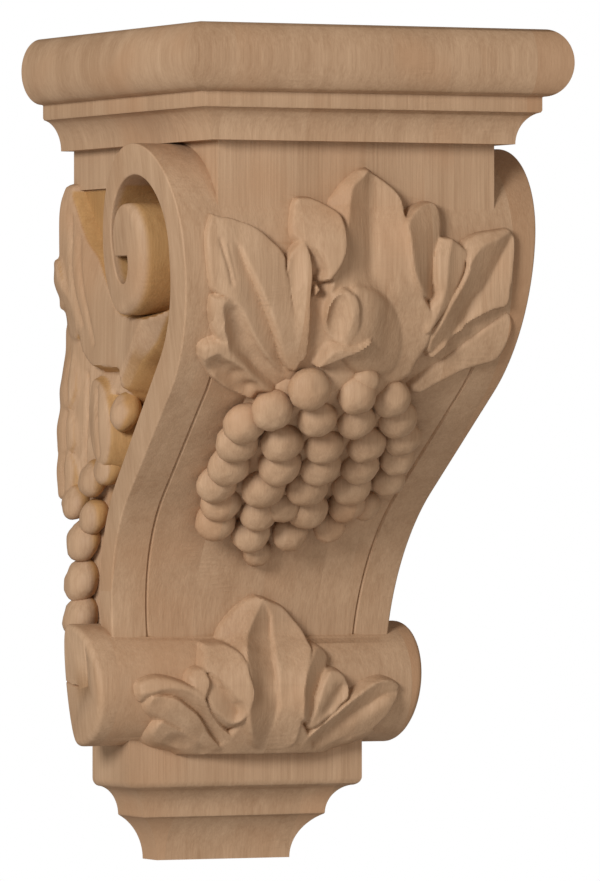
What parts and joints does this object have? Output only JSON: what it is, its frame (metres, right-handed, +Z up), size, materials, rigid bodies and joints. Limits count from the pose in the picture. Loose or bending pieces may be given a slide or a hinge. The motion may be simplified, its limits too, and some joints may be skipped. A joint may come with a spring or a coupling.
{
  "type": "wooden corbel bracket",
  "caption": "Carved wooden corbel with a moulded cap, S scroll, side volutes, vine leaves, grapes, a bottom roll and a stepped drop; fixes flat to a wall to carry a shelf or mantel.",
  "frame": {"origin": "middle of the flat back face, where the bracket is fixed to the wall", "axes": "+Z up, +Y into the wall, the carved front faces -Y, +X to the viewer's right"},
  "size_m": [0.1524, 0.1524, 0.3048],
  "materials": {
    "raw_wood": "raw, unfinished, sanded"
  },
  "bodies": {
    "root": {"corbel": "raw_wood"}
  },
  "joints": []
}
